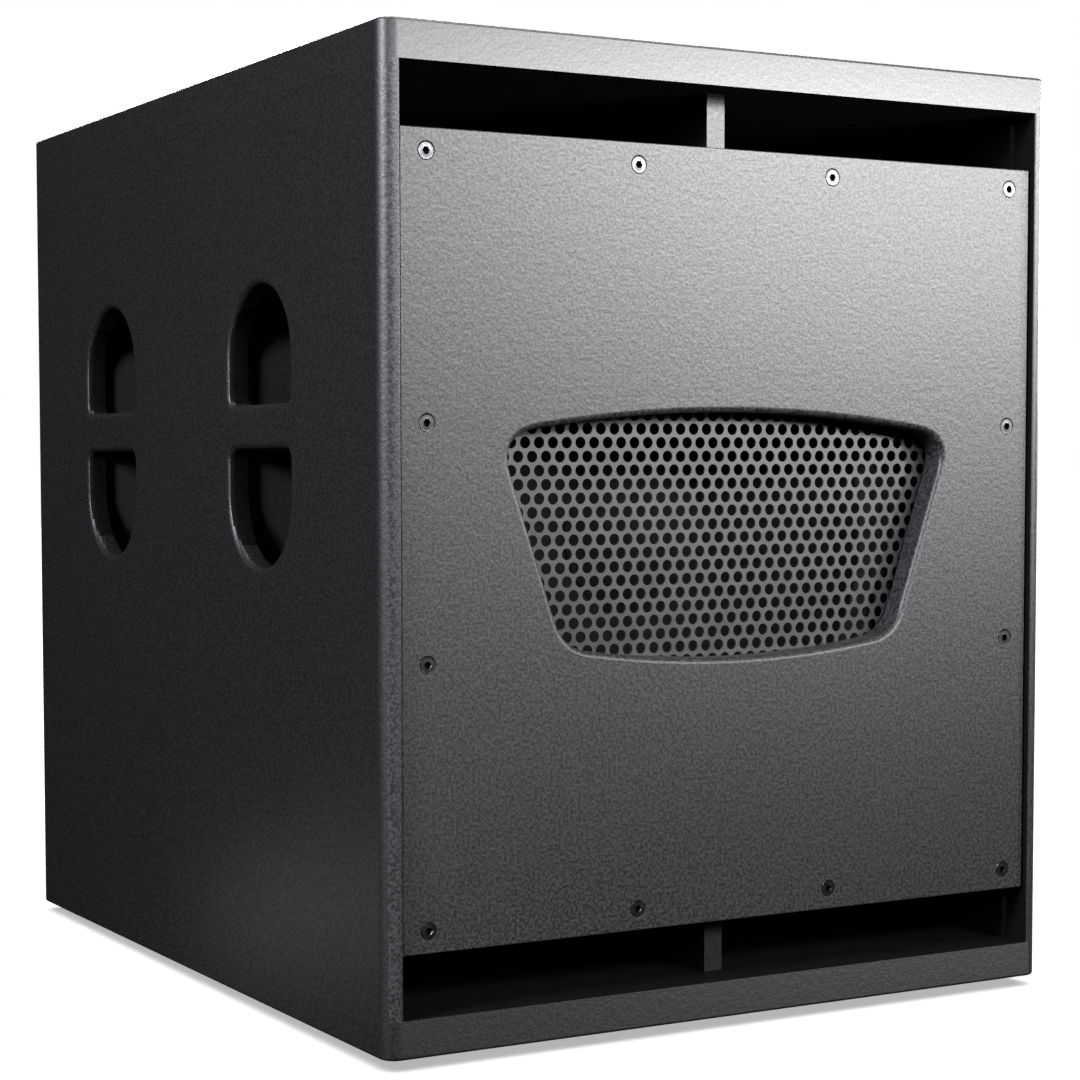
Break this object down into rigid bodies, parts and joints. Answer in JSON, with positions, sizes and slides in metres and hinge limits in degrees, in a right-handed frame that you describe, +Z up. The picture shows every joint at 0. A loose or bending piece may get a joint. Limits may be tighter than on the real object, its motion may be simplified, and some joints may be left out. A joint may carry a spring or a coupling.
{
  "type": "subwoofer cabinet",
  "caption": "Upright box with a recessed front panel, a grilled window, slot ports above and below it, D-shaped hand-holes in both sides, a front-facing driver and a rear connector dish.",
  "frame": {"origin": "on the floor, under the middle of the box", "axes": "+Z up, -Y out of the front panel, +X to the right as the front is seen"},
  "size_m": [0.58, 0.7, 0.708],
  "materials": {
    "cabinet_paint": "plywood under black textured spatter paint",
    "front_paint": "plywood under black textured spatter paint",
    "inner_paint": "plywood under thin matt black paint",
    "bare_plywood": "bare birch plywood",
    "grille_metal": "powder-coated black perforated steel",
    "screw_steel": "dark zinc, hexagon socket",
    "bolt_steel": "black zinc",
    "foot_rubber": "matt black",
    "foam_gasket": "closed-cell foam",
    "dish_plastic": "fine-grained black",
    "socket_plastic": "glass-filled, smooth",
    "lead_red": "silicone insulation",
    "lead_black": "silicone insulation",
    "cast_frame": "die-cast, black powder coat",
    "motor_steel": "plated",
    "ferrite": "ground ferrite",
    "coil_wire": "copper-clad aluminium wire",
    "cone_paper": "pressed pulp, black",
    "surround_cloth": "pleated doped cloth",
    "spider_cloth": "corrugated phenolic cotton"
  },
  "bodies": {
    "cabinet": {"top_panel": "cabinet_paint", "bottom_panel": "cabinet_paint", "side_panel_left": "cabinet_paint", "side_panel_right": "cabinet_paint", "back_panel": "cabinet_paint", "front_panel": "front_paint", "front_frame": "inner_paint", "port_shelf_upper": "inner_paint", "port_shelf_lower": "inner_paint", "port_divider_upper": "cabinet_paint", "port_divider_lower": "cabinet_paint", "driver_baffle": "inner_paint", "cross_brace": "bare_plywood", "handle_cup_front_left": "inner_paint", "handle_cup_rear_left": "inner_paint", "handle_cup_front_right": "inner_paint", "handle_cup_rear_right": "inner_paint", "grille": "grille_metal", "grille_gasket": "foam_gasket", "panel_screw_01": "screw_steel", "panel_screw_02": "screw_steel", "panel_screw_03": "screw_steel", "panel_screw_04": "screw_steel", "panel_screw_05": "screw_steel", "panel_screw_06": "screw_steel", "panel_screw_07": "screw_steel", "panel_screw_08": "screw_steel", "panel_screw_09": "screw_steel", "panel_screw_10": "screw_steel", "panel_screw_11": "screw_steel", "panel_screw_12": "screw_steel", "foot_front_left": "foot_rubber", "foot_front_right": "foot_rubber", "foot_rear_left": "foot_rubber", "foot_rear_right": "foot_rubber", "connector_dish": "dish_plastic", "input_socket_1": "socket_plastic", "input_socket_2": "socket_plastic", "lead_positive": "lead_red", "lead_negative": "lead_black", "driver_basket": "cast_frame", "driver_gasket": "foam_gasket", "driver_bolt_1": "bolt_steel", "driver_bolt_2": "bolt_steel", "driver_bolt_3": "bolt_steel", "driver_bolt_4": "bolt_steel", "driver_bolt_5": "bolt_steel", "driver_bolt_6": "bolt_steel", "driver_bolt_7": "bolt_steel", "driver_bolt_8": "bolt_steel", "top_plate": "motor_steel", "magnet": "ferrite", "pole_plate": "motor_steel", "surround": "surround_cloth", "spider": "spider_cloth", "terminal_block": "dish_plastic"},
    "moving_assembly": {"cone": "cone_paper", "dust_cap": "cone_paper", "voice_coil": "coil_wire"}
  },
  "joints": [
    {"name": "cone_excursion", "type": "slide", "parent": "cabinet", "child": "moving_assembly", "axis": [0, -1, 0], "range_m": [-0.01, 0.01], "stiffness_N_per_m": 7000, "deforming": ["surround", "spider"]}
  ]
}
